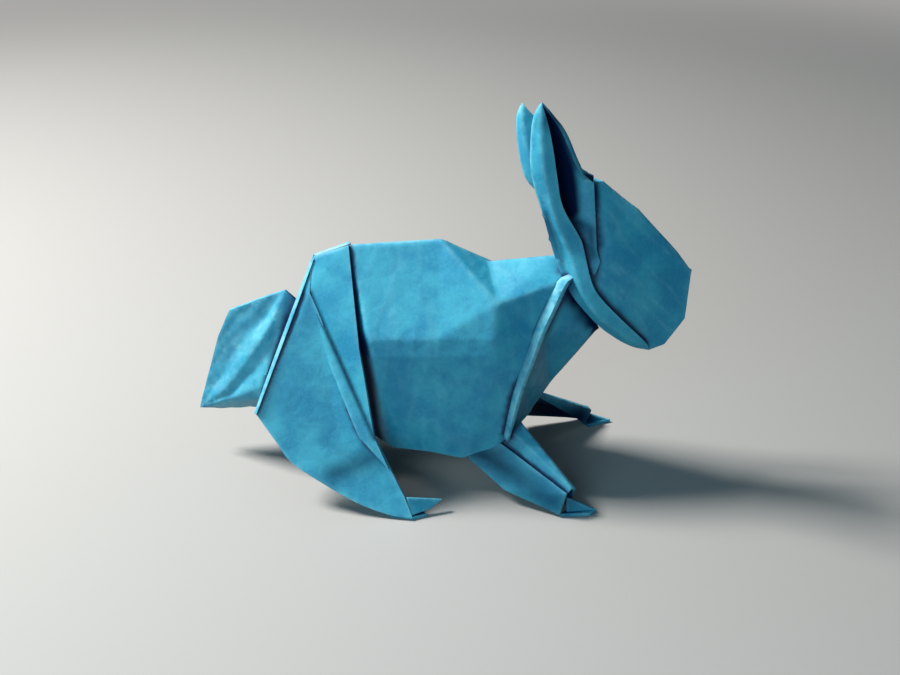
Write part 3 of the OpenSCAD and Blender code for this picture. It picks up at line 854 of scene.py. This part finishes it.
def paperMaterial(plan):
    paper = bpy.data.materials.new("bluePaper")
    paper.use_nodes = True
    nodes, links = paper.node_tree.nodes, paper.node_tree.links
    shader = nodes["Principled BSDF"]
    place = nodes.new("ShaderNodeTexCoord").outputs["Object"]

    def cloud(scale, detail, rough=0.5):
        node = nodes.new("ShaderNodeTexNoise")
        node.inputs["Scale"].default_value = scale
        node.inputs["Detail"].default_value = detail
        node.inputs["Roughness"].default_value = rough
        links.new(place, node.inputs["Vector"])
        return node.outputs["Fac"]

    def ramp(value, low, high):
        node = nodes.new("ShaderNodeMapRange")
        node.interpolation_type = "SMOOTHSTEP"
        node.inputs["From Min"].default_value = low
        node.inputs["From Max"].default_value = high
        links.new(value, node.inputs["Value"])
        return node.outputs["Result"]

    def blend(share, first, second):
        node = nodes.new("ShaderNodeMix")
        node.data_type = "RGBA"
        links.new(share, node.inputs["Factor"])
        for value, socket in ((first, node.inputs["A"]), (second, node.inputs["B"])):
            if isinstance(value, tuple):
                socket.default_value = value
            else:
                links.new(value, socket)
        return node.outputs["Result"]

    def scaled(value, by):
        node = nodes.new("ShaderNodeMath")
        node.operation = "MULTIPLY"
        node.inputs[1].default_value = by
        links.new(value, node.inputs[0])
        return node.outputs["Value"]

    def patches(scale, detail, rough, low, high):
        return ramp(cloud(scale, detail, rough), low, high)

    def painted(attribute):
        node = nodes.new("ShaderNodeAttribute")
        node.attribute_name = attribute
        return node.outputs["Fac"]

    def between(value, low, high):
        node = nodes.new("ShaderNodeMapRange")
        node.inputs["To Min"].default_value = low
        node.inputs["To Max"].default_value = high
        links.new(value, node.inputs["Value"])
        return node.outputs["Result"]

    def bump(height, strength, depth):
        node = nodes.new("ShaderNodeBump")
        node.inputs["Strength"].default_value = strength
        node.inputs["Distance"].default_value = depth * mm
        links.new(height, node.inputs["Height"])
        return node

    colour = blend(patches(*plan["mottle"]), plan["deep"], plan["lit"])
    fibre = scaled(patches(*plan["fibre"]), plan["fibreShare"])
    colour = blend(fibre, colour, plan["wornAndLit"])
    # pale wear and painted highlight, in patches
    wearAndHighlightPatches = nodes.new("ShaderNodeMath")
    wearAndHighlightPatches.operation = "MULTIPLY"
    links.new(painted("wearAndHighlight"), wearAndHighlightPatches.inputs[0])
    links.new(patches(*plan["wearAndHighlightPatches"]), wearAndHighlightPatches.inputs[1])
    wornAndLit = scaled(wearAndHighlightPatches.outputs["Value"], plan["wearAndHighlightShare"])
    colour = blend(wornAndLit, colour, plan["wornAndLit"])
    # painted shade: darker in recesses, and darker still in hollows where little light gets in
    recessShade = ramp(painted("recessShade"), plan["recessFrom"], plan["recessFull"])
    colour = blend(recessShade, colour, plan["inside"])
    unlit = ramp(painted("hollow"), plan["hollowShadeFrom"], plan["hollowShadeFull"])
    colour = blend(unlit, colour, plan["hollowShadeColour"])
    links.new(colour, shader.inputs["Base Color"])

    roughness = between(cloud(*plan["sheen"]), plan["smoothest"], plan["roughest"])
    links.new(roughness, shader.inputs["Roughness"])
    # less shine where hollow shade is painted
    shine = between(unlit, plan["shine"], plan["hollowShadeShine"])
    links.new(shine, shader.inputs["Specular IOR Level"])

    crinkle = nodes.new("ShaderNodeTexVoronoi")
    crinkle.feature = "DISTANCE_TO_EDGE"
    scale, strength, depth = plan["crinkle"]
    crinkle.inputs["Scale"].default_value = scale
    links.new(place, crinkle.inputs["Vector"])
    creases = bump(crinkle.outputs["Distance"], strength, depth)
    scale, strength, depth = plan["grain"]
    grain = bump(cloud(scale, 4, 0.65), strength, depth)
    links.new(creases.outputs["Normal"], grain.inputs["Normal"])
    links.new(grain.outputs["Normal"], shader.inputs["Normal"])
    return paper


rabbit.data.materials.clear()
rabbit.data.materials.append(paperMaterial(finish))
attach(rabbit, "root")
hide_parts("folded_rabbit")
print("the paper is finished")

# A pale floor, and soft light from behind the tail
studio = {
    "floor": (0.40, 0.395, 0.385, 1),
    "bounce": (0.10, 0.09, 0.08, 1),      # the floor as the paper sees it
    "floorSize": 6000,
    "floorRoughness": 0.9,
    "air": (0.55, 0.80, 1.0, 1),
    "airStrength": 0.1,
    "backdrop": (0.42, 0.41, 0.40, 1),    # the air and the far floor as the camera sees them
    "fadeFrom": 380,
    "fadeTo": 640,
    "aim": (0, 0, 35),                    # where both lamps point
}
keyPlan = {"place": (-396, 48, 480), "size": 150, "power": 6.9, "colour": (1.0, 0.97, 0.93)}
fillPlan = {"place": (-160, -520, 235), "size": 400, "power": 1.45, "colour": (0.52, 0.86, 1.0)}


def mixShaders(tree, share, first, second, output):
    node = tree.nodes.new("ShaderNodeMixShader")
    tree.links.new(share, node.inputs["Fac"])
    tree.links.new(first, node.inputs[1])
    tree.links.new(second, node.inputs[2])
    tree.links.new(node.outputs["Shader"], tree.nodes[output].inputs["Surface"])


def layFloor(plan):
    clearSelection()
    bpy.ops.mesh.primitive_plane_add(size=plan["floorSize"] * mm, location=(0, 0, 0))
    floor = bpy.context.object
    floor.name = "floor"
    ground = bpy.data.materials.new("paleFloor")
    ground.use_nodes = True
    nodes, links = ground.node_tree.nodes, ground.node_tree.links
    shader = nodes["Principled BSDF"]
    path = nodes.new("ShaderNodeLightPath")
    seen = nodes.new("ShaderNodeMath")
    seen.operation = "MAXIMUM"
    links.new(path.outputs["Is Camera Ray"], seen.inputs[0])
    links.new(path.outputs["Is Glossy Ray"], seen.inputs[1])
    colour = nodes.new("ShaderNodeMix")
    colour.data_type = "RGBA"
    colour.inputs["A"].default_value = plan["bounce"]
    colour.inputs["B"].default_value = plan["floor"]
    links.new(seen.outputs["Value"], colour.inputs["Factor"])
    links.new(colour.outputs["Result"], shader.inputs["Base Color"])
    shader.inputs["Roughness"].default_value = plan["floorRoughness"]
    # far off the floor fades into the backdrop, for the camera alone
    place = nodes.new("ShaderNodeTexCoord")
    away = nodes.new("ShaderNodeVectorMath")
    away.operation = "LENGTH"
    links.new(place.outputs["Object"], away.inputs[0])
    fade = nodes.new("ShaderNodeMapRange")
    fade.interpolation_type = "SMOOTHSTEP"
    fade.inputs["From Min"].default_value = plan["fadeFrom"] * mm
    fade.inputs["From Max"].default_value = plan["fadeTo"] * mm
    links.new(away.outputs["Value"], fade.inputs["Value"])
    share = nodes.new("ShaderNodeMath")
    share.operation = "MULTIPLY"
    links.new(fade.outputs["Result"], share.inputs[0])
    links.new(path.outputs["Is Camera Ray"], share.inputs[1])
    pale = nodes.new("ShaderNodeEmission")
    pale.inputs["Color"].default_value = plan["backdrop"]
    mixShaders(ground.node_tree, share.outputs["Value"], shader.outputs["BSDF"],
               pale.outputs["Emission"], "Material Output")
    floor.data.materials.append(ground)


def softLamp(name, plan, aim):
    target, spot = Vector(aim) * mm, Vector(plan["place"]) * mm
    bpy.ops.object.light_add(type="AREA", location=spot)
    lamp = bpy.context.object
    lamp.name = name
    lamp.rotation_euler = (spot - target).to_track_quat("Z", "Y").to_euler()
    lamp.data.size = plan["size"] * mm
    lamp.data.energy = plan["power"]
    lamp.data.color = plan["colour"]


def hangAir(plan):
    air = bpy.data.worlds.new("air")
    air.use_nodes = True
    nodes = air.node_tree.nodes
    light = nodes["Background"]
    light.inputs["Color"].default_value = plan["air"]
    light.inputs["Strength"].default_value = plan["airStrength"]
    pale = nodes.new("ShaderNodeBackground")
    pale.inputs["Color"].default_value = plan["backdrop"]
    path = nodes.new("ShaderNodeLightPath")
    mixShaders(air.node_tree, path.outputs["Is Camera Ray"], light.outputs["Background"],
               pale.outputs["Background"], "World Output")
    bpy.context.scene.world = air


layFloor(studio)
softLamp("keyLamp", keyPlan, studio["aim"])
softLamp("fillLamp", fillPlan, studio["aim"])
hangAir(studio)
bpy.context.scene.view_settings.view_transform = "Standard"
print("the studio is lit")
